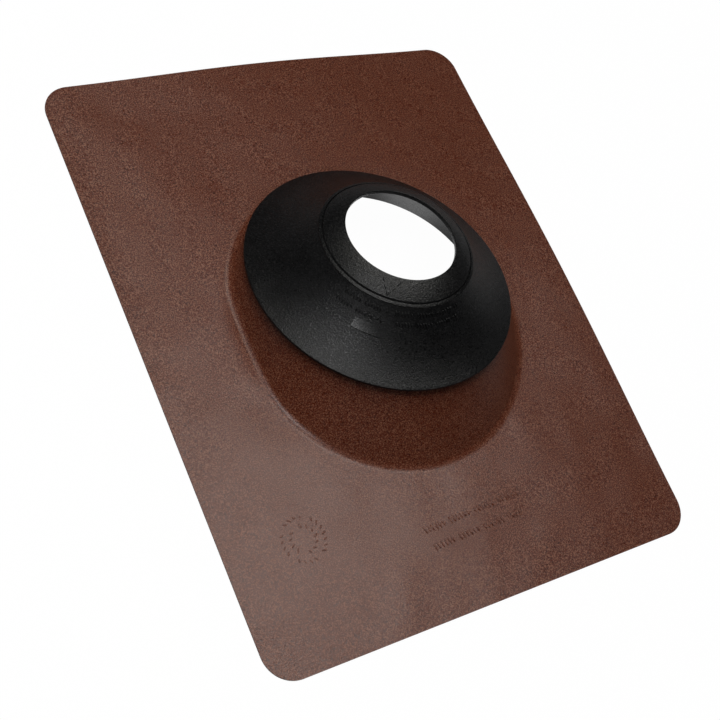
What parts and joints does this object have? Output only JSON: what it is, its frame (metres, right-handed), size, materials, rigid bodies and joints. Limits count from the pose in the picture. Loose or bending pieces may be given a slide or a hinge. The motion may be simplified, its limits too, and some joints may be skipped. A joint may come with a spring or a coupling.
{
  "type": "pipe flashing boot",
  "caption": "Rectangular sheet-metal roof flange with a drawn, leaning dome and a flared rubber collar that seals round a vent pipe.",
  "frame": {"origin": "middle of the flat flange's underside, which lies on the roof deck", "axes": "+Z out of the roof, square to the flange; +Y up the slope, along the flange's longer side; +X across the slope"},
  "size_m": [0.3174, 0.3938, 0.0713],
  "materials": {
    "base_paint": "brown baked paint with a fine sandy texture, satin",
    "collar_rubber": "black moulded elastomer with a fine leathery grain"
  },
  "bodies": {
    "root": {"base_flashing": "base_paint", "rubber_collar": "collar_rubber"}
  },
  "joints": []
}
